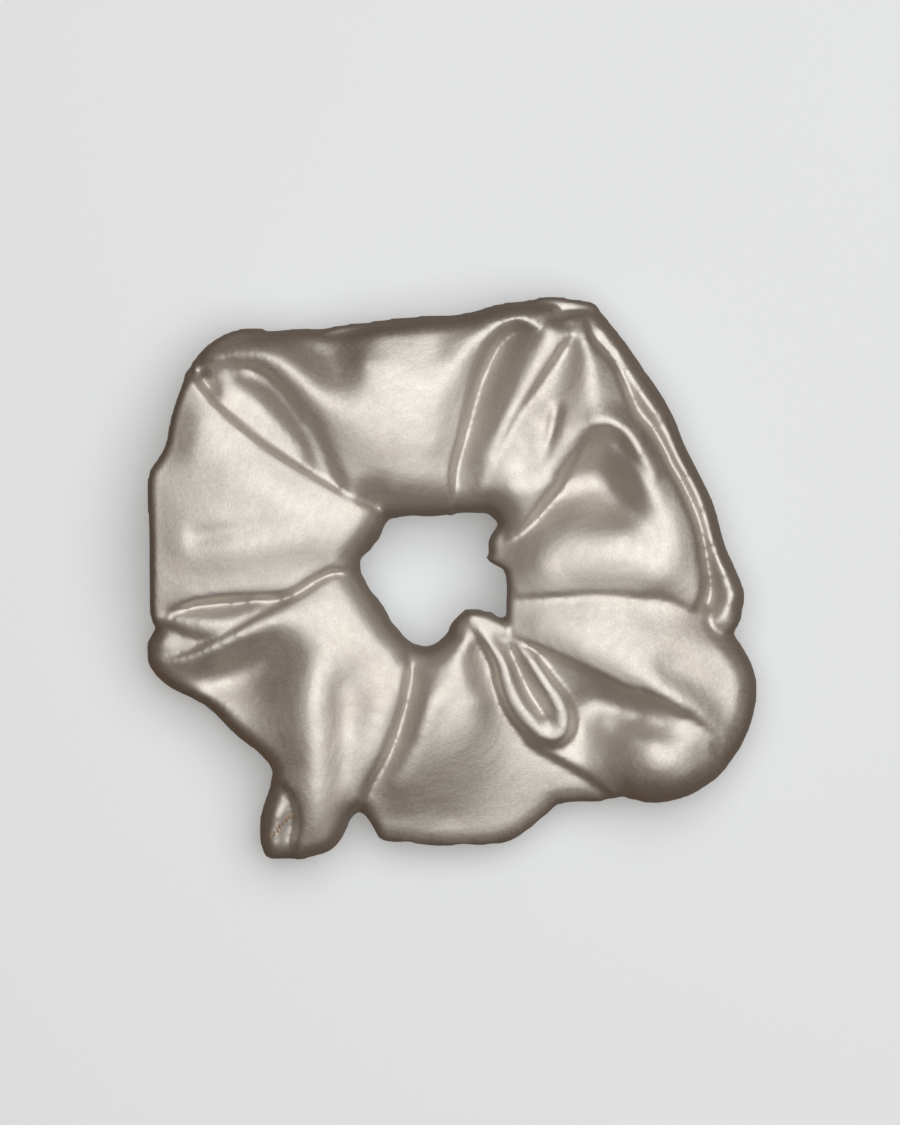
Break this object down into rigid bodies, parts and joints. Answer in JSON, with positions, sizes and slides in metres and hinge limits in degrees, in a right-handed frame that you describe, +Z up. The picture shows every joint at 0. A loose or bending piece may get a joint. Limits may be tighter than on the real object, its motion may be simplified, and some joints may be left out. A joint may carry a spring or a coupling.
{
  "type": "scrunchie",
  "caption": "Large puffy satin scrunchie: a gathered fabric tube closed into a stretchy ring over a loop of flat elastic.",
  "frame": {"origin": "on the table, under the middle of the outline's box, with the scrunchie lying flat", "axes": "+Z up through the hair hole, +X along the longest width and the direction of the stretch, +Y across"},
  "size_m": [0.116, 0.1072, 0.026],
  "materials": {
    "satin": "champagne satin with a broad soft sheen",
    "elastic": "off-white braided elastic",
    "thread": "light brown sewing thread"
  },
  "bodies": {
    "left_half": {"satin_cover_left": "satin", "elastic_band_left": "elastic", "elastic_join_stitches": "thread", "long_seam_thread_left": "thread", "closing_seam_stitches": "thread"},
    "right_half": {"satin_cover_right": "satin", "elastic_band_right": "elastic", "long_seam_thread_right": "thread"}
  },
  "joints": [
    {"name": "stretch", "type": "slide", "parent": "left_half", "child": "right_half", "axis": [1, 0, 0], "range_m": [0, 0.07], "stiffness_N_per_m": 60}
  ]
}
